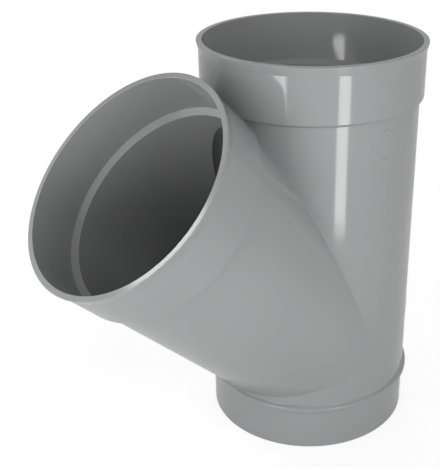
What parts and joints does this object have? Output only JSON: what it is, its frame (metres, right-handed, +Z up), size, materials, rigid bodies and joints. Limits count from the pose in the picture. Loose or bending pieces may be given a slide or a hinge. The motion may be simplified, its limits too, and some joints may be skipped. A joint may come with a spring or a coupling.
{
  "type": "lateral wye fitting",
  "caption": "Equal lateral wye for drain pipe: a straight run with a beaded socket on top and a plain spigot under a stop collar, and a slanting branch with the same beaded socket.",
  "frame": {"origin": "centre of the spigot's lower end, on the axis of the run", "axes": "+Z up the axis of the run towards its socket, the branch leans towards -X at 45 degrees, +Y across the fitting"},
  "size_m": [0.3113, 0.1696, 0.3105],
  "materials": {
    "grey_pvc": "smooth moulded gloss"
  },
  "bodies": {
    "root": {"wye_body": "grey_pvc"}
  },
  "joints": []
}
